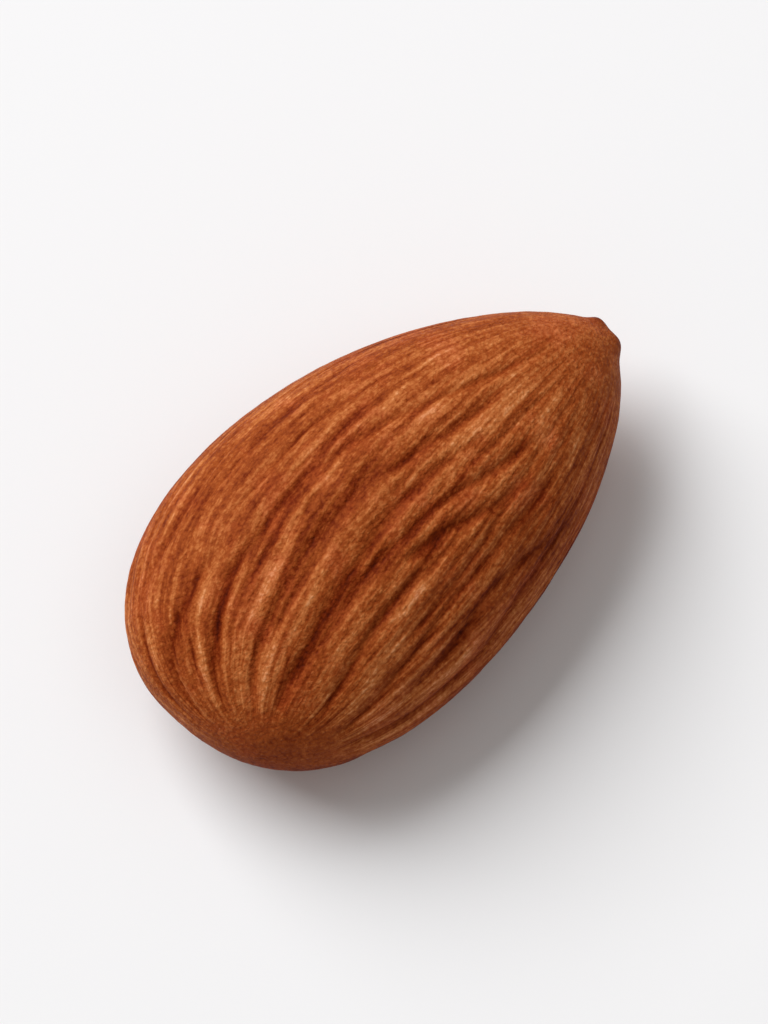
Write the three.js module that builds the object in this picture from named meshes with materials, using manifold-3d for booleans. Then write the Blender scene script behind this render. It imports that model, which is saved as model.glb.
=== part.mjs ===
// A shelled almond kernel in its brown skin, lying on one broad face.
// Millimetres, +Z up. The kernel's long axis lies along X with its tip towards +X and the edge that
// carries the raphe towards -Y. The origin is under the kernel's middle, on the surface it rests on.
import * as THREE from "three";
import { mergeVertices } from "three/addons/utils/BufferGeometryUtils.js";
import Module from "manifold-3d";

// Driving dimensions.
const LENGTH = 23.0; // blunt end to tip, along X
const WIDTH = 14.0; // edge to edge, along Y
const THICKNESS = 8.6; // resting face to upper face, along Z
const FLAT_DEPTH = 0.15; // how far the lower face is flattened where the kernel rests

// From the tip each outline swells as one power of the distance, and it closes at the blunt end as
// another.
const WIDTH_POWERS = { tip: 0.65, blunt: 0.41 };
const THICKNESS_POWERS = { tip: 0.62, blunt: 0.46 };
const UPPER_SHARE = 0.52; // share of the thickness that lies above the edge line
const TIP_LEAN = 2.0; // how far the tip leans over towards -Y
const TIP_LIFT = 0.4; // how far the tip lies above the edge line

// The raphe is a low keel along the -Y edge, from the hilum beside the tip to the chalaza.
const RAPHE = { height: 0.16, halfWidth: 0.8 };

// Small marks: the way to each one as a turn from the tip towards +Y and a lift above the edge line,
// both in degrees, then its radius and how far it stands out, or in where that is below zero.
const MARKS = {
  radicle: { turn: 6, lift: 0, radius: 0.38, height: 0.2 },
  hilum: { turn: -13, lift: 0, radius: 0.55, height: 0.26 },
  chalaza: { turn: -156, lift: 9, radius: 1.4, height: -0.05 },
};

const MESH_DETAIL = 21; // each of the icosahedron's 20 faces is split into (detail + 1) squared
const BLOCK_MARGIN = 4; // how far the block that trims the lower face reaches past the kernel

const skin = new THREE.MeshStandardMaterial({
  name: "skin",
  color: 0x97501f,
  roughness: 0.55,
  metalness: 0,
});

// Height of an outline at a share t of the length from the tip, as a share of its greatest height.
function outline(t, { tip, blunt }) {
  const widest = tip / (tip + blunt);
  return (t / widest) ** tip * ((1 - t) / (1 - widest)) ** blunt;
}

// The smooth kernel: the point that a direction on the unit sphere stands for, with +X for the tip.
function bodyPoint(direction) {
  const t = THREE.MathUtils.clamp((1 - direction.x) / 2, 0, 1);
  const around = Math.hypot(direction.y, direction.z) || 1;
  const share = direction.z > 0 ? UPPER_SHARE : 1 - UPPER_SHARE;
  const halfWidth = (WIDTH / 2) * outline(t, WIDTH_POWERS);
  const rise = THICKNESS * share * outline(t, THICKNESS_POWERS);
  const towardsTip = (1 - t) ** 2;
  return new THREE.Vector3(
    LENGTH * (0.5 - t),
    (halfWidth * direction.y) / around - TIP_LEAN * towardsTip,
    (rise * direction.z) / around + TIP_LIFT * towardsTip,
  );
}

function markPoint({ turn, lift }) {
  const [around, up] = [turn, lift].map(THREE.MathUtils.degToRad);
  const level = Math.cos(up);
  return bodyPoint(new THREE.Vector3(Math.cos(around) * level, Math.sin(around) * level, Math.sin(up)));
}

// How far the skin stands out from the smooth kernel at a point that a direction stands for.
function relief(point, direction) {
  const onEdge = THREE.MathUtils.smoothstep(-direction.y, 0.1, 0.7);
  const offEdge = point.z / RAPHE.halfWidth;
  let height = RAPHE.height * onEdge * Math.exp(-(offEdge ** 2));
  for (const mark of Object.values(MARKS)) {
    const away = point.distanceTo(markPoint(mark)) / mark.radius;
    height += mark.height * Math.exp(-(away ** 2));
  }
  return height;
}

// A sphere of even triangles, drawn out to the kernel's shape and then raised by the relief.
function kernelGeometry() {
  const sphere = new THREE.IcosahedronGeometry(1, MESH_DETAIL);
  sphere.deleteAttribute("normal");
  sphere.deleteAttribute("uv");
  const geometry = mergeVertices(sphere, 1e-5);
  const position = geometry.getAttribute("position");
  const directions = [];
  for (let i = 0; i < position.count; i++) {
    const direction = new THREE.Vector3().fromBufferAttribute(position, i).normalize();
    directions.push(direction);
    position.setXYZ(i, ...bodyPoint(direction));
  }
  geometry.computeVertexNormals();
  const normals = geometry.getAttribute("normal");
  for (let i = 0; i < position.count; i++) {
    const point = new THREE.Vector3().fromBufferAttribute(position, i);
    const normal = new THREE.Vector3().fromBufferAttribute(normals, i);
    point.addScaledVector(normal, relief(point, directions[i]));
    position.setXYZ(i, ...point);
  }
  geometry.deleteAttribute("normal");
  return fitToSize(geometry);
}

// Brought to its exact size and centred in plan, with the lower face's slice still to be trimmed off
// below Z = 0.
function fitToSize(geometry) {
  geometry.computeBoundingBox();
  const box = geometry.boundingBox;
  const size = box.getSize(new THREE.Vector3());
  const middle = box.getCenter(new THREE.Vector3());
  geometry.translate(-middle.x, -middle.y, -box.min.z);
  geometry.scale(LENGTH / size.x, WIDTH / size.y, (THICKNESS + FLAT_DEPTH) / size.z);
  geometry.translate(0, 0, -FLAT_DEPTH);
  return geometry;
}

const wasm = await Module();
wasm.setup();

function toSolid(geometry) {
  return new wasm.Manifold(
    new wasm.Mesh({
      numProp: 3,
      vertProperties: geometry.getAttribute("position").array,
      triVerts: new Uint32Array(geometry.index.array),
    }),
  );
}

function toGeometry(solid) {
  const { vertProperties, triVerts } = solid.getMesh();
  const geometry = new THREE.BufferGeometry();
  geometry.setAttribute("position", new THREE.BufferAttribute(vertProperties, 3));
  geometry.setIndex(new THREE.BufferAttribute(triVerts, 1));
  geometry.computeVertexNormals();
  return geometry;
}

// The block above the floor that the kernel is trimmed to, which leaves the flat spot it rests on.
function blockAboveFloor() {
  const height = THICKNESS + BLOCK_MARGIN;
  const block = new THREE.BoxGeometry(LENGTH + BLOCK_MARGIN, WIDTH + BLOCK_MARGIN, height);
  block.translate(0, 0, height / 2);
  block.deleteAttribute("normal");
  block.deleteAttribute("uv");
  return mergeVertices(block);
}

const solid = toSolid(kernelGeometry()).intersect(toSolid(blockAboveFloor()));
const almond = new THREE.Mesh(toGeometry(solid), skin);
almond.name = "almond";

const kernel = new THREE.Group();
kernel.name = "almond_kernel";
kernel.add(almond);

export default kernel;
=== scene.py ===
"""The looks of a shelled almond kernel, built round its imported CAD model.

Everything is in metres, in the CAD frame: +Z up, the kernel's tip towards +X, and the edge that carries
the raphe towards -Y. Lengths that are easier to read in millimetres are written as a number times MM.
"""
import math

import bpy
import numpy as np
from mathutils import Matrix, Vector, noise


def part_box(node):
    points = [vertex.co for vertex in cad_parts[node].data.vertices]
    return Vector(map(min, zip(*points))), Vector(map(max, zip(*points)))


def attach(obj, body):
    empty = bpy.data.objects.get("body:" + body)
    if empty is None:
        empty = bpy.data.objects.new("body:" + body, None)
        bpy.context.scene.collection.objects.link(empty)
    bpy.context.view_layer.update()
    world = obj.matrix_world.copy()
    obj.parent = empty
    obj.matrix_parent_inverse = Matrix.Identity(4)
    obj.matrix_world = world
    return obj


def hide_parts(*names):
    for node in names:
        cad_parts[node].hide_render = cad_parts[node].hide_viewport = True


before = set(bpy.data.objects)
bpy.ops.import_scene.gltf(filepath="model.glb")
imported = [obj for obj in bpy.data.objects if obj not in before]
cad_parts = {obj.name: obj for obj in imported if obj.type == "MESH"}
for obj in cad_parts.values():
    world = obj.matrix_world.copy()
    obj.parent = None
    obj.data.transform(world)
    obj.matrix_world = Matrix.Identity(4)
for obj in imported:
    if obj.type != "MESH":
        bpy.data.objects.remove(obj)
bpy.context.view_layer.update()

MM = 0.001
SEED = 11

# The camera looks down steeply, with the tip to the upper right of the picture.
VIEW_AZIMUTH = -49  # degrees, with 0 looking along +Y
VIEW_ELEVATION = 76
VIEW_DISTANCE = 260 * MM
VIEW_HEIGHT = 40 * MM  # height of what the picture takes in at the kernel
CLIP_START = 10 * MM
CLIP_END = 10.0

# Each light's direction in degrees from +X and up from the floor, its size in metres and its watts.
KEY_LIGHT = {"azimuth": 88, "elevation": 45, "size": 0.9, "power": 17.8, "colour": (0.985, 0.992, 1)}
TOP_LIGHT = {"azimuth": -49, "elevation": 76, "size": 1.0, "power": 1.4, "colour": (1, 1, 1)}
LIGHT_DISTANCE = 1.2
SURROUND_COLOUR = (1, 0.955, 0.915)
SURROUND_STRENGTH = 0.26
FLOOR_COLOUR = (0.86, 0.86, 0.87)
FLOOR_ROUGHNESS = 0.8
FLOOR_SPECULAR = 0.1
FLOOR_REACH = 3.0  # half its side

# The kernel's form, as in the CAD model.
WIDTH_POWERS = (0.65, 0.41)  # how its width swells from the tip and closes at the blunt end
THICKNESS_POWERS = (0.62, 0.46)
UPPER_SHARE = 0.52  # share of the thickness above the edge line
TIP_LEAN = 2.0 * MM
TIP_LIFT = 0.4 * MM
FLAT_DEPTH = 0.15 * MM
RAPHE_HEIGHT = 0.16 * MM
RAPHE_HALF_WIDTH = 0.8 * MM
RAPHE_ENDS = (0.1, 0.7)  # it fades in as a direction turns this far towards -Y


def direction_at(turn, lift):
    """A unit vector turned from the tip towards +Y and lifted above the edge line, in degrees."""
    turn, lift = math.radians(turn), math.radians(lift)
    return np.array([math.cos(turn) * math.cos(lift), math.sin(turn) * math.cos(lift), math.sin(lift)])


RADICLE = direction_at(6, 0)  # the root end's nib, at the tip
HILUM = direction_at(-13, 0)  # where the stalk was, beside it
CHALAZA = direction_at(-156, 9)  # where the veins spread from, at the blunt end
MARKS = (  # each mark on the skin, its radius and its height
    (RADICLE, 0.38 * MM, 0.2 * MM),
    (HILUM, 0.55 * MM, 0.26 * MM),
    (CHALAZA, 1.4 * MM, -0.05 * MM),
)

# The long furrows of the upper face. Each is a row of places in mm, first along the kernel from its
# middle towards the tip, then round its girth from the +Y edge; then how deep the furrow is.
FACE_FURROWS = (
    (((-10.6, 0.6), (-8, 1.3), (-5, 2.1), (-2.5, 2.4)), 0.5),
    (((-10.8, 2.3), (-8.3, 3.3), (-6.8, 4.1), (-5, 4.8)), 0.8),
    (((-10.4, 3.6), (-8.8, 4.4), (-7, 5.0)), 0.4),
    (((-2.0, 4.6), (1, 4.9), (5, 5.2)), 0.4),
    (((-10.8, 5.3), (-6, 5.9), (-2, 6.4), (2, 7.0)), 0.85),
    (((-9.4, 5.8), (-7, 5.7), (-4.5, 6.0)), 0.5),
    (((-7, 6.4), (-3, 6.6), (0, 6.2), (3, 6.1)), 0.4),
    (((0.5, 6.9), (3.2, 7.8), (6, 8.9), (8.2, 9.7)), 0.6),
    (((-10.7, 8.0), (-6, 8.2), (-2.5, 8.4), (0.5, 8.6)), 0.7),
    (((-8.2, 8.5), (-5.5, 8.75), (-3, 8.75)), 0.6),
    (((-0.5, 8.7), (1.5, 9.4), (3.2, 9.8), (5.6, 10.0)), 0.75),
    (((-10.8, 10.0), (-7.5, 10.3), (-4, 10.2), (0.5, 10.4), (3, 10.9)), 1.0),
    (((-9.6, 10.6), (-7, 10.75), (-4.6, 10.6)), 0.8),
    (((-7.2, 10.9), (-3.5, 11.0), (0, 11.7), (2.4, 12.4), (4.6, 13.1)), 1.0),
    (((-3.8, 11.7), (-1.8, 12.3), (0, 13.0), (2.6, 13.6)), 0.9),
    (((-10.5, 13.4), (-7.3, 12.5), (-5, 12.5), (-1.8, 12.9)), 0.8),
    (((1, 11.3), (4, 11.7), (7.5, 12.1)), 0.45),
    (((-6.5, 13.9), (-4, 14.0), (0, 13.8), (4.9, 13.6)), 0.55),
    (((-10.8, 15.6), (-7.5, 14.7), (-4, 14.5), (0.5, 14.5), (4.5, 14.8)), 0.8),
    (((-8.6, 16.2), (-5, 15.7), (-3, 15.5), (0.8, 16.3)), 0.9),
    (((-10.7, 17.0), (-8.5, 17.5), (-4, 17.2), (3, 17.1)), 0.7),
)
# The brightest ridges between them, given in the same way; their tops are lighter in colour, partly
# dust and partly a painted highlight.
FACE_RIDGES = (
    (((-10.5, 1.1), (-9, 1.7), (-7.7, 2.6)), 0.7),
    (((-9.6, 3.5), (-8.4, 4.2), (-7, 4.7)), 0.5),
    (((-9.9, 4.8), (-7, 5.2), (-4, 5.5), (2, 5.6)), 0.7),
    (((-9.2, 6.7), (-7.2, 7.4), (-2.5, 7.4), (1, 7.4), (4, 8.9)), 0.6),
    (((-8.2, 9.3), (-4, 9.3), (1.2, 9.4)), 0.6),
    (((-4.0, 11.3), (-1.5, 11.7), (0.6, 12.2), (3, 12.8)), 1.0),
    (((-7.0, 11.1), (-5.6, 11.4), (-4.4, 11.45)), 0.9),
    (((-10.2, 14.4), (-7.8, 13.8), (-5, 13.1), (-1, 13.3), (1.5, 13.8)), 0.8),
    (((-8.6, 15.5), (-6, 15.1), (-3, 14.9), (0.4, 15.3)), 0.8),
    (((-8.8, 16.8), (-4.2, 16.6)), 0.6),
    (((-0.5, 10.3), (2, 10.6), (6, 10.5)), 0.6),
    (((2.2, 9.0), (5, 9.3), (7.6, 10.2)), 0.6),
    (((4.2, 12.8), (8, 12.8)), 0.4),
)
# The long furrows of the under face: where they cross the girth, and the ranges along the kernel that
# hold their four stations, in mm.
UNDER_PLACES = np.linspace(19.5, 36.6, 13)
UNDER_STATIONS = ((-10.6, -9), (-6, -3), (-1, 2), (3, 8))
UNDER_SHIFT = 0.45  # the furthest that a station lies from its furrow's place
UNDER_DEPTHS = (0.65, 1)
FORK_SHARE = 0.85  # how many of them have a fork
FORK_SPREADS = (0.6, 0.9)  # how far a fork ends up from its furrow
FORK_COURSE = np.array([0, 0.6, 1, 1.1])  # the share of that at each of its stations
FORK_ENDS = (1, 3)  # how far its last two stations lie past the furrow's third
FORK_DEPTHS = (0.5, 0.9)
# The short shallow furrows between the long ones, all round the kernel, in mm.
MINOR_PLACES = np.arange(0.3, 37, 0.4)
MINOR_STARTS = (-10.7, 1)
MINOR_LENGTHS = (5, 11)
MINOR_SHIFT = 0.25
MINOR_DEPTHS = (0.25, 0.5)

COURSE_DEGREE = 3  # the highest degree of the curve that a furrow follows past its stations

# How a furrow wavers to the sides and in strength, as pairs of wavelength and size.
WANDER = ((4.5 * MM, 0.05 * MM), (2.0 * MM, 0.015 * MM))
PULSE = ((5.2 * MM, 0.14), (2.1 * MM, 0.07))
WAVE_SIZES = (0.6, 1.2)  # the range of each wave's own size, as a share of the one given
PULSE_MIDDLE = 0.9
PULSE_LEAST = 0.65
# Where a furrow fades in and out, before and after its first and last stations, as shares of the
# half length.
FADE_IN = (-0.03, 0.09)
FADE_OUT = (-0.16, 0.1)
LEAST_WIDTH = 0.05 * MM  # half the width of the shallowest furrow
WIDTH_FOR_DEPTH = 0.19 * MM  # what the deepest one has on top of that
LEAST_SQUEEZE = 0.4  # how far furrows narrow where the veins crowd together

# The relief: how deep or high each pattern is, then how wide or how coarse.
FURROW_DEPTH = 0.09 * MM
TROUGH_DEPTH = 0.09 * MM
RIDGE_HEIGHT = 0.04 * MM
WRINKLE_HEIGHT = 0.026 * MM
SCURF_HEIGHT = 0.010 * MM
SWELL_HEIGHT = 0.03 * MM
TROUGH_WIDENING = 2.3
RIDGE_WIDENING = 1.8
WRINKLE_SCALE = 2.2
SCURF_SIZE = 0.5 * MM
SWELL_SIZE = 4.5 * MM
SHALLOWEST_PERCENT = 3  # share of the points that keep the smooth kernel's height
FLAT_FADE = 0.6 * MM  # the relief grows to its full depth over this height above the floor

# Where the veins' pattern ends, at the blunt end and at the tip, as places along the vein lines.
VEINED_BLUNT = (-0.99, -0.9)
VEINED_TIP = (0.98, 0.55)

# The darker marks on the skin, with a darker line along the -Y edge and a darker patch round the
# chalaza that is partly painted shadow, and how dark the others are beside the radicle's nib.
NIB_REACH = 0.5 * MM
# The chalaza's darker patch reaches this far: partly the skin's own darker scar, partly painted shadow
# at the blunt end.
SCAR_REACH = 2.2 * MM
RIM_REACH = 0.3 * MM
FAINT_MARK_AND_SHADE = 0.6

# The grain's coordinates: a tube round the kernel in mm, shortened along the veins.
GRAIN_RADIUS = 5.7
GRAIN_STRETCH = 13.0
GRAIN_WOBBLE = 0.03  # in radians
WOBBLE_SIZE = 2.5 * MM

GRID = 126  # squares along each edge of the cube that is drawn out to the kernel
EDGE_DIGITS = 6  # rounding that lets the cube's faces share the points along their edges
GIRTH_STEPS = 720  # steps in which the length of the girth is measured
NOISE_FALL_OFF = 1.0
NOISE_STEP = 2.0  # how much finer each octave is than the one before
TINY = 1e-9
NEARLY_ONE = 0.9999

low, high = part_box("almond")
SIZE = np.array(high - low)
LENGTH, WIDTH, THICKNESS = SIZE
HALF_LENGTH = LENGTH / 2
MIDDLE = np.array([(low.x + high.x) / 2, (low.y + high.y) / 2, low.z])


# Camera, lights and floor

def add_camera():
    data = bpy.data.cameras.new("camera")
    data.lens = data.sensor_width * VIEW_DISTANCE / VIEW_HEIGHT
    data.clip_start = CLIP_START
    data.clip_end = CLIP_END
    camera = bpy.data.objects.new("camera", data)
    back = Vector(direction_at(VIEW_AZIMUTH - 90, VIEW_ELEVATION))
    target = (low + high) / 2
    camera.location = target + back * VIEW_DISTANCE
    camera.rotation_mode = "QUATERNION"
    camera.rotation_quaternion = (-back).to_track_quat("-Z", "Y")
    bpy.context.scene.collection.objects.link(camera)
    bpy.context.scene.camera = camera


def add_area_light(name, azimuth, elevation, size, power, colour):
    """A square soft light that faces the kernel."""
    data = bpy.data.lights.new(name, "AREA")
    data.shape = "SQUARE"
    data.size = size
    data.energy = power
    data.color = colour
    light = bpy.data.objects.new(name, data)
    toward = Vector(direction_at(azimuth, elevation))
    light.location = (low + high) / 2 + toward * LIGHT_DISTANCE
    light.rotation_mode = "QUATERNION"
    light.rotation_quaternion = toward.to_track_quat("Z", "Y")
    light.visible_camera = False
    bpy.context.scene.collection.objects.link(light)


def add_lights():
    add_area_light("key", **KEY_LIGHT)
    add_area_light("top", **TOP_LIGHT)
    world = bpy.data.worlds.new("soft_box")
    world.use_nodes = True
    background = world.node_tree.nodes["Background"]
    background.inputs["Color"].default_value = (*SURROUND_COLOUR, 1)
    background.inputs["Strength"].default_value = SURROUND_STRENGTH
    bpy.context.scene.world = world
    bpy.context.scene.view_settings.view_transform = "Standard"


def add_floor():
    mesh = bpy.data.meshes.new("floor")
    corners = [(x * FLOOR_REACH, y * FLOOR_REACH, 0) for x, y in ((-1, -1), (1, -1), (1, 1), (-1, 1))]
    mesh.from_pydata(corners, [], [(0, 1, 2, 3)])
    floor = bpy.data.objects.new("floor", mesh)
    bpy.context.scene.collection.objects.link(floor)
    material = bpy.data.materials.new("pale_floor")
    material.use_nodes = True
    shader = material.node_tree.nodes["Principled BSDF"]
    shader.inputs["Base Color"].default_value = (*FLOOR_COLOUR, 1)
    shader.inputs["Roughness"].default_value = FLOOR_ROUGHNESS
    shader.inputs["Specular IOR Level"].default_value = FLOOR_SPECULAR
    mesh.materials.append(material)


# The kernel's form

def smoothstep(low_end, high_end, value):
    t = np.clip((value - low_end) / (high_end - low_end), 0, 1)
    return t * t * (3 - 2 * t)


def outline(t, powers):
    """Height of an outline at a share t of the length from the tip, as a share of its greatest."""
    tip, blunt = powers
    widest = tip / (tip + blunt)
    return (t / widest) ** tip * ((1 - t) / (1 - widest)) ** blunt


def body_points(directions):
    """The smooth kernel's points that directions on the unit sphere stand for, with +X for the tip."""
    x, y, z = np.moveaxis(directions, -1, 0)
    t = np.clip((1 - x) / 2, 0, 1)
    around = np.maximum(np.hypot(y, z), TINY)
    share = np.where(z > 0, UPPER_SHARE, 1 - UPPER_SHARE)
    half_width = WIDTH / 2 * outline(t, WIDTH_POWERS)
    rise = THICKNESS * share * outline(t, THICKNESS_POWERS)
    towards_tip = (1 - t) ** 2
    return np.stack([
        LENGTH * (0.5 - t),
        half_width * y / around - TIP_LEAN * towards_tip,
        rise * z / around + TIP_LIFT * towards_tip,
    ], -1)


def closeness(points, direction, radius):
    """1 at the point of the smooth kernel that a direction stands for, fading round it to 0."""
    away = np.linalg.norm(points - body_points(direction), axis=1) / radius
    return np.exp(-away ** 2)


def raphe(points, directions, half_width):
    """1 on the -Y edge's line, fading to either side of it and towards the ends."""
    on_edge = smoothstep(*RAPHE_ENDS, -directions[:, 1])
    return on_edge * np.exp(-(points[:, 2] / half_width) ** 2)


def marks_height(points, directions):
    """How far the raphe's keel and the marks at its ends stand out from the smooth kernel."""
    height = RAPHE_HEIGHT * raphe(points, directions, RAPHE_HALF_WIDTH)
    for direction, radius, mark_height in MARKS:
        height += mark_height * closeness(points, direction, radius)
    return height


def vertex_normals(points, quads):
    """Unit normals of a mesh of quads, pointing out."""
    a, b, c, d = (points[quads[:, k]] for k in range(4))
    face = np.cross(c - a, d - b)
    normals = np.zeros_like(points)
    for k in range(4):
        np.add.at(normals, quads[:, k], face)
    return normals / np.maximum(np.linalg.norm(normals, axis=1, keepdims=True), TINY)


def fit_to_size(points):
    """Brought to the CAD model's box, with the slice that the flat takes off still below the floor."""
    lowest, highest = points.min(0), points.max(0)
    wanted = SIZE + [0, 0, FLAT_DEPTH]
    centred = points - [(lowest[0] + highest[0]) / 2, (lowest[1] + highest[1]) / 2, lowest[2]]
    return centred * wanted / (highest - lowest) + MIDDLE - [0, 0, FLAT_DEPTH]


def cube_sphere():
    """Directions and quads of a cube's six gridded faces, drawn out to a sphere with even steps."""
    steps = np.tan(np.linspace(-1, 1, GRID + 1) * math.pi / 4)
    index = {}
    directions = []
    quads = []
    for axis in range(3):
        for side in (-1, 1):
            grid = np.empty((GRID + 1, GRID + 1), int)
            for i, u in enumerate(steps):
                for j, v in enumerate(steps):
                    point = [0.0, 0.0, 0.0]
                    point[axis] = float(side)
                    point[(axis + 1) % 3] = u * side
                    point[(axis + 2) % 3] = v
                    key = tuple(round(value, EDGE_DIGITS) for value in point)
                    if key not in index:
                        index[key] = len(directions)
                        directions.append(point)
                    grid[i, j] = index[key]
            corners = (grid[:-1, :-1], grid[1:, :-1], grid[1:, 1:], grid[:-1, 1:])
            quads.append(np.stack([corner.ravel() for corner in corners], 1))
    directions = np.array(directions)
    return directions / np.linalg.norm(directions, axis=1, keepdims=True), np.concatenate(quads)


# The veins: they spread from the chalaza and draw together again at the tip

CHALAZA_ON_PLANE = (CHALAZA[1] + 1j * CHALAZA[2]) / (1 - CHALAZA[0])


def flow_of(directions):
    """The vein line that each direction lies on, as an angle round the chalaza, and how far along that
    line it is, from -1 at the chalaza to 1 at the tip."""
    x, y, z = np.moveaxis(directions, -1, 0)
    offset = (y + 1j * z) / np.maximum(1 - x, TINY) - CHALAZA_ON_PLANE
    reach = np.abs(offset) ** 2
    return np.angle(offset), (reach - 1) / (reach + 1)


def directions_of(angle, along):
    """The reverse of flow_of."""
    reach = np.sqrt((1 + along) / (1 - along))
    place = reach * np.exp(1j * angle) + CHALAZA_ON_PLANE
    square = np.abs(place) ** 2
    return np.stack([square - 1, 2 * place.real, 2 * place.imag], -1) / (square + 1)[..., None]


def line_spacing(angle, along):
    """Distance on the kernel for each radian from one vein line to the next."""
    step = 1e-3
    along = np.clip(along, -NEARLY_ONE, NEARLY_ONE)
    here = body_points(directions_of(angle, along))
    there = body_points(directions_of(angle + step, along))
    return np.linalg.norm(there - here, axis=-1) / step


def waves(rng, parts):
    """A smooth random curve: a sum of sine waves, given as pairs of wavelength and size."""
    terms = [(2 * math.pi / length, rng.uniform(0, 2 * math.pi), size * rng.uniform(*WAVE_SIZES))
             for length, size in parts]

    def curve(place):
        return sum(size * np.sin(rate * place + phase) for rate, phase, size in terms)
    return curve


def angle_at(place):
    """The angle of the vein line that crosses the kernel's girth this far round from the +Y edge."""
    angles = np.linspace(0, 2 * math.pi, GIRTH_STEPS + 1)
    steps = line_spacing(angles[:-1], np.zeros(GIRTH_STEPS)) * angles[1]
    return np.interp(place, np.concatenate([[0], np.cumsum(steps)]), angles)


def make_furrow(rng, stations, depth):
    """A slightly wavy furrow past its stations, that fades in at the first and out at the last."""
    station_along = np.array([station[0] for station in stations]) * MM / HALF_LENGTH
    angles = angle_at(np.array([station[1] for station in stations]) * MM)
    degree = min(len(stations) - 1, COURSE_DEGREE)
    course = np.polynomial.Polynomial.fit(station_along, angles, degree)
    per_radian = float(line_spacing(angles.mean(), np.array(0.0)))
    wander = waves(rng, WANDER)
    pulse = waves(rng, PULSE)
    start, end = station_along[0], station_along[-1]

    def path(along):
        return course(along) + wander(along * HALF_LENGTH) / per_radian

    def strength(along):
        begun = smoothstep(start + FADE_IN[0], start + FADE_IN[1], along)
        ended = smoothstep(end + FADE_OUT[0], end + FADE_OUT[1], along)
        steady = np.clip(PULSE_MIDDLE + pulse(along * HALF_LENGTH), PULSE_LEAST, 1)
        return depth * begun * (1 - ended) * steady
    width = LEAST_WIDTH + WIDTH_FOR_DEPTH * depth
    return {"path": path, "strength": strength, "width": width, "per_radian": per_radian}


def under_furrows(rng):
    """Stations and depths for the under face: long furrows like the upper face's, most with a fork."""
    for place in UNDER_PLACES:
        along = [rng.uniform(*ends) for ends in UNDER_STATIONS]
        places = place + rng.uniform(-UNDER_SHIFT, UNDER_SHIFT, len(along))
        yield list(zip(along, places)), rng.uniform(*UNDER_DEPTHS)
        if rng.random() < FORK_SHARE:
            spread = rng.choice([-1, 1]) * rng.uniform(*FORK_SPREADS)
            ends = (along[2] + end for end in FORK_ENDS)
            fork_along = (along[1], (along[1] + along[2]) / 2, *ends)
            fork_places = places[1] + spread * FORK_COURSE
            yield list(zip(fork_along, fork_places)), rng.uniform(*FORK_DEPTHS)


def minor_furrows(rng):
    """Stations and depths for short shallow furrows all round the kernel, between the long ones."""
    for place in MINOR_PLACES:
        start = rng.uniform(*MINOR_STARTS)
        length = rng.uniform(*MINOR_LENGTHS)
        places = place + rng.uniform(-MINOR_SHIFT, MINOR_SHIFT, 3)
        along = (start, start + length / 2, start + length)
        yield list(zip(along, places)), rng.uniform(*MINOR_DEPTHS)


def line_relief(rng, lines, angle, along, widening):
    """How near each point is to one of the lines, as 1 on a deep line down to 0 away from them all."""
    spacing = line_spacing(angle, along)
    left = np.ones_like(angle)
    for stations, depth in lines:
        line = make_furrow(rng, stations, depth)
        apart = (angle - line["path"](along) + math.pi) % (2 * math.pi) - math.pi
        squeeze = np.clip(spacing / line["per_radian"], LEAST_SQUEEZE, 1)
        away = apart * spacing / squeeze / (line["width"] * widening)
        left *= 1 - line["strength"](along) * np.exp(-away ** 2)
    return 1 - left


def noise_at(points, octaves):
    """Fractal noise at points, about -1 to 1."""
    return np.array([noise.fractal(point, NOISE_FALL_OFF, NOISE_STEP, octaves) for point in points])


def grain_points(points, angle, along):
    """Coordinates in millimetres that run along the veins slowly and across them fast."""
    angle = angle + GRAIN_WOBBLE * noise_at(points / WOBBLE_SIZE, octaves=2)
    length = along * HALF_LENGTH / MM / GRAIN_STRETCH
    return np.stack([GRAIN_RADIUS * np.cos(angle), GRAIN_RADIUS * np.sin(angle), length], 1)


# The mesh

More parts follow.
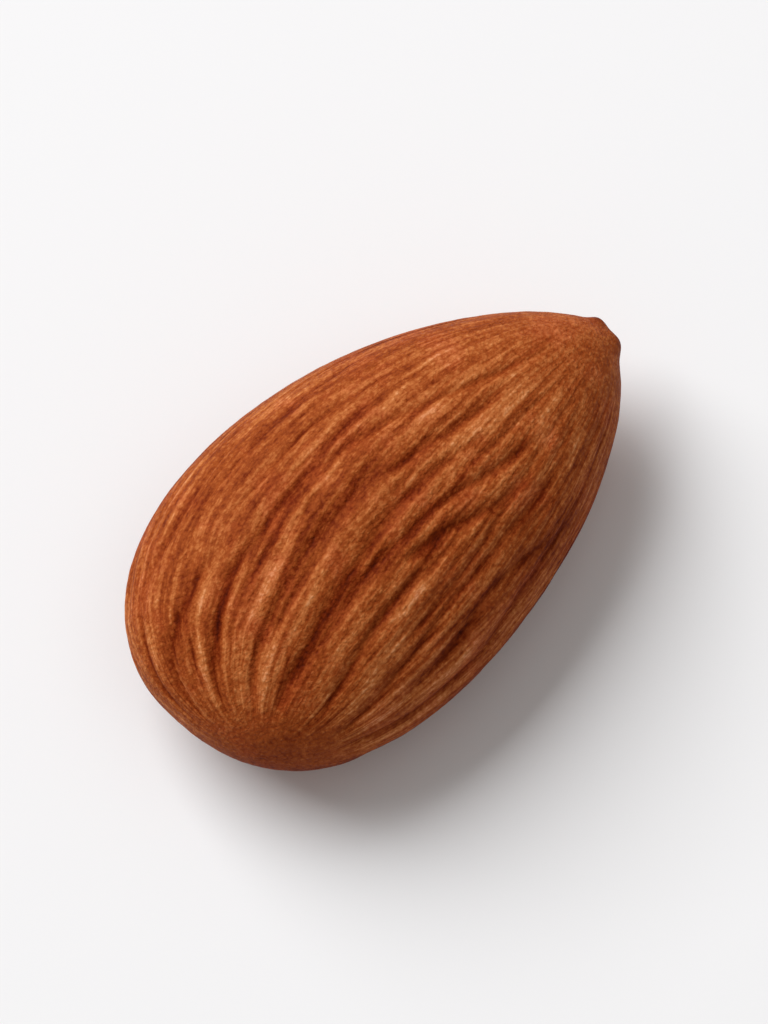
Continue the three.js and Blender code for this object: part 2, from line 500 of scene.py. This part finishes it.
def build_kernel():
    directions, quads = cube_sphere()
    points = body_points(directions)
    nib = closeness(points, RADICLE, NIB_REACH)
    # Darker marks: the nib, the hilum, a line along the -Y edge, and the chalaza's patch, which is
    # partly painted shadow at the blunt end.
    faint_marks_and_shade = (closeness(points, HILUM, NIB_REACH) + closeness(points, CHALAZA, SCAR_REACH)
                   + raphe(points, directions, RIM_REACH))
    points += vertex_normals(points, quads) * marks_height(points, directions)[:, None]
    points = fit_to_size(points)
    normals = vertex_normals(points, quads)
    points[:, 2] = np.maximum(points[:, 2], 0)

    angle, along = flow_of(directions)
    rng = np.random.default_rng(SEED)
    long_furrows = [*FACE_FURROWS, *under_furrows(rng)]
    furrows = [*long_furrows, *minor_furrows(rng)]
    furrow = line_relief(np.random.default_rng(SEED), furrows, angle, along, 1)
    trough = line_relief(np.random.default_rng(SEED), long_furrows, angle, along, TROUGH_WIDENING)
    ridge = line_relief(rng, FACE_RIDGES, angle, along, RIDGE_WIDENING)
    grain = grain_points(points, angle, along)
    veined = np.minimum(smoothstep(*VEINED_BLUNT, along), smoothstep(*VEINED_TIP, along))
    wrinkle = veined * noise_at(grain * WRINKLE_SCALE, octaves=3)
    scurf = noise_at(points / SCURF_SIZE, octaves=3)
    swell = noise_at(points / SWELL_SIZE, octaves=2)
    depth = (FURROW_DEPTH * furrow + TROUGH_DEPTH * trough - RIDGE_HEIGHT * ridge
             - WRINKLE_HEIGHT * wrinkle - SCURF_HEIGHT * scurf - SWELL_HEIGHT * swell)
    depth = np.maximum(depth - np.percentile(depth, SHALLOWEST_PERCENT), 0)
    depth *= smoothstep(0, FLAT_FADE, points[:, 2])
    points -= normals * depth[:, None]
    points[:, 2] = np.maximum(points[:, 2], 0)

    mesh = bpy.data.meshes.new("almond_kernel")
    mesh.from_pydata(points.tolist(), [], quads.tolist())
    mesh.polygons.foreach_set("use_smooth", np.ones(len(quads), bool))
    # The furrow and trough numbers also darken the colour in the grooves: partly the skin's own darker
    # veins, partly painted shade. The ridge number lightens the ridge tops: partly dust, partly a
    # painted highlight.
    add_number(mesh, "furrow", furrow)
    add_number(mesh, "trough", trough)
    add_number(mesh, "ridge", ridge)
    add_number(mesh, "veined", veined)
    add_number(mesh, "dark_mark_and_shade", np.clip(nib + FAINT_MARK_AND_SHADE * faint_marks_and_shade, 0, 1))
    add_vector(mesh, "grain", grain)
    add_uv_map(mesh, directions, quads)
    mesh.update()
    kernel = bpy.data.objects.new("almond_kernel", mesh)
    bpy.context.scene.collection.objects.link(kernel)
    return kernel


def add_number(mesh, name, values):
    attribute = mesh.attributes.new(name, "FLOAT", "POINT")
    attribute.data.foreach_set("value", np.ascontiguousarray(values, np.float32))


def add_vector(mesh, name, vectors):
    attribute = mesh.attributes.new(name, "FLOAT_VECTOR", "POINT")
    attribute.data.foreach_set("vector", np.ascontiguousarray(vectors, np.float32).ravel())


def add_uv_map(mesh, directions, quads):
    """The upper and the lower half, each laid out flat with nearly even scale, one above the other."""
    upper = directions[quads].mean(1)[:, 2] > 0
    corner = directions[quads]
    rise = np.where(upper[:, None], corner[..., 2], -corner[..., 2])
    spread = 1 / np.sqrt(1 + np.maximum(rise, 0))
    reach = 0.48  # half the map's width, less a margin
    u = 0.5 + reach * corner[..., 0] * spread
    v = np.where(upper, 0.75, 0.25)[:, None] + reach / 2 * corner[..., 1] * spread
    layer = mesh.uv_layers.new(name="OFBake")
    layer.uv.foreach_set("vector", np.stack([u, v], -1).astype(np.float32).ravel())


# The skin

class Nodes:
    """Short ways to add and link the nodes of one material."""

    def __init__(self, name):
        self.material = bpy.data.materials.new(name)
        self.material.use_nodes = True
        self.tree = self.material.node_tree
        self.shader = self.tree.nodes["Principled BSDF"]

    def add(self, kind, settings=None, **inputs):
        node = self.tree.nodes.new(kind)
        for name, value in (settings or {}).items():
            setattr(node, name, value)
        for name, value in inputs.items():
            self.put(node.inputs[name.replace("_", " ")], value)
        return node

    def put(self, socket, value):
        if isinstance(value, bpy.types.NodeSocket):
            self.tree.links.new(value, socket)
        else:
            socket.default_value = value

    def math(self, operation, *values):
        node = self.tree.nodes.new("ShaderNodeMath")
        node.operation = operation
        for socket, value in zip(node.inputs, values):
            self.put(socket, value)
        return node.outputs[0]

    def attribute(self, name):
        return self.add("ShaderNodeAttribute", {"attribute_name": name})

    def total(self, start, weights, patterns):
        """start, plus each pattern that has a weight, times that weight."""
        for name, weight in weights.items():
            start = self.math("MULTIPLY_ADD", patterns[name], weight, start)
        return start

    def scaled(self, vector, factors):
        node = self.add("ShaderNodeVectorMath", {"operation": "MULTIPLY"})
        self.put(node.inputs[0], vector)
        self.put(node.inputs[1], factors)
        return node.outputs[0]

    def noise(self, vector, scale, detail, roughness):
        """Noise about 0."""
        settings = {"Scale": scale, "Detail": detail, "Roughness": roughness}
        node = self.add("ShaderNodeTexNoise", Vector=vector, **settings)
        return self.math("SUBTRACT", node.outputs["Fac"], 0.5)

    def span(self, value, low_end, high_end, low_result, high_result):
        """value taken from one range to another, smoothly, and held inside it."""
        node = self.add("ShaderNodeMapRange", {"interpolation_type": "SMOOTHSTEP"})
        for socket, number in zip(node.inputs, (value, low_end, high_end, low_result, high_result)):
            self.put(socket, number)
        return node.outputs["Result"]

    def tint(self, factor, colour, tint):
        """A colour multiplied by three linear numbers, as much as a factor says."""
        node = self.tree.nodes.new("ShaderNodeMix")
        node.data_type = "RGBA"
        node.blend_type = "MULTIPLY"
        # Of its sockets, inputs 6 and 7 and output 2 are the ones for colours.
        self.put(node.inputs["Factor"], factor)
        self.put(node.inputs[6], colour)
        self.put(node.inputs[7], (*tint, 1))
        return node.outputs[2]

    def ramp(self, value, stops):
        """A colour for a value from 0 to 1, from pairs of a value and three linear numbers."""
        node = self.add("ShaderNodeValToRGB", Fac=value)
        elements = node.color_ramp.elements
        while len(elements) < len(stops):
            elements.new(0.5)
        for element, (position, colour) in zip(elements, stops):
            element.position = position
            element.color = (*colour, 1)
        return node.outputs["Color"]


SKIN_COLOURS = (  # from the bottom of a furrow, darker partly by painted shade, to the dusty top of a ridge, lighter partly by a painted highlight
    (0.0, (0.050, 0.0036, 0.0003)),
    (0.3, (0.150, 0.0175, 0.0014)),
    (0.6, (0.31, 0.064, 0.0115)),
    (0.85, (0.50, 0.155, 0.042)),
    (1.0, (0.66, 0.27, 0.110)),
)
RED_SKIN = (1.0, 0.83, 0.95)  # what the redder patches multiply the colour by
RED_RANGE = (-0.05, 0.2)  # where their noise starts to redden the skin, and where it does so most
RED_SHARE = 0.7
SKIN_SPECULAR = 0.04
BUMP_STRENGTH = 0.8
BUMP_DISTANCE = 0.06 * MM

# How much each pattern adds to the tone that picks the colour, to the roughness and to the bump.
SKIN_TONE = 0.775
TONE_WEIGHTS = {
    # Darker in the furrows and troughs: partly the skin's own darker veins, partly painted shade in the
    # grooves. Lighter on the ridges: partly dust, partly a painted highlight on their tops.
    "furrow": -0.3,
    "trough": -0.09,
    "ridge": 0.15,
    # The marks darken the colour; among them, the chalaza's patch is partly painted shadow at the blunt
    # end.
    "dark_mark_and_shade": -0.3,
    "streaks": 1.15,
    "bands": 0.3,
    "patches": 0.35,
    "mottle": 0.3,
    "scurf": 0.55,
    "flake_edge": -0.2,
    "flake_shade": 0.12,
}
SKIN_ROUGHNESS = 0.55
ROUGHNESS_WEIGHTS = {"scurf": 0.3, "furrow": 0.1}
BUMP_WEIGHTS = {"scurf": 0.8, "streaks": 0.8, "flake_edge": -0.5, "flake_shade": 0.2, "mottle": 0.4}
# Each noise's scale for each millimetre, its detail and its roughness: first those that run along the
# veins, then those that lie evenly all over the skin.
VEIN_NOISES = {"streaks": (3.6, 4.0, 0.6), "bands": (1.1, 2.0, 0.5)}
EVEN_NOISES = {
    "patches": (0.3, 3.0, 0.6),
    "red_patches": (0.6, 3.0, 0.6),
    "mottle": (1.3, 3.0, 0.65),
    "scurf": (5.0, 3.0, 0.7),
}
FLAKE_SCALE = 7.0
FLAKE_DETAIL = 1.0
FLAKE_SHAPE = (0.7, 1, 1)  # flakes are a little longer along the kernel


def skin_material():
    n = Nodes("almond_skin")
    names = ("furrow", "trough", "ridge", "dark_mark_and_shade")
    patterns = {name: n.attribute(name).outputs["Fac"] for name in names}
    veined = n.attribute("veined").outputs["Fac"]
    grain = n.attribute("grain").outputs["Vector"]
    place = n.add("ShaderNodeTexCoord").outputs["Object"]
    spot = n.scaled(place, (1 / MM, 1 / MM, 1 / MM))

    for name, settings in VEIN_NOISES.items():
        patterns[name] = n.math("MULTIPLY", n.noise(grain, *settings), veined)
    for name, settings in EVEN_NOISES.items():
        patterns[name] = n.noise(spot, *settings)
    cells = n.scaled(spot, FLAKE_SHAPE)
    flakes = n.add("ShaderNodeTexVoronoi", Vector=cells, Scale=FLAKE_SCALE, Detail=FLAKE_DETAIL)
    patterns["flake_edge"] = flakes.outputs["Distance"]
    patterns["flake_shade"] = n.math("SUBTRACT", flakes.outputs["Color"], 0.5)

    tone = n.total(SKIN_TONE, TONE_WEIGHTS, patterns)
    colour = n.ramp(tone, SKIN_COLOURS)
    redness = n.span(patterns["red_patches"], *RED_RANGE, 0, RED_SHARE)
    n.put(n.shader.inputs["Base Color"], n.tint(redness, colour, RED_SKIN))
    n.put(n.shader.inputs["Roughness"], n.total(SKIN_ROUGHNESS, ROUGHNESS_WEIGHTS, patterns))
    n.put(n.shader.inputs["Specular IOR Level"], SKIN_SPECULAR)

    height = n.total(0, BUMP_WEIGHTS, patterns)
    bump = n.add("ShaderNodeBump", Strength=BUMP_STRENGTH, Distance=BUMP_DISTANCE, Height=height)
    n.put(n.shader.inputs["Normal"], bump.outputs["Normal"])
    return n.material


add_camera()
add_lights()
add_floor()
kernel = build_kernel()
kernel.data.materials.append(skin_material())
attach(kernel, "root")
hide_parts("almond")
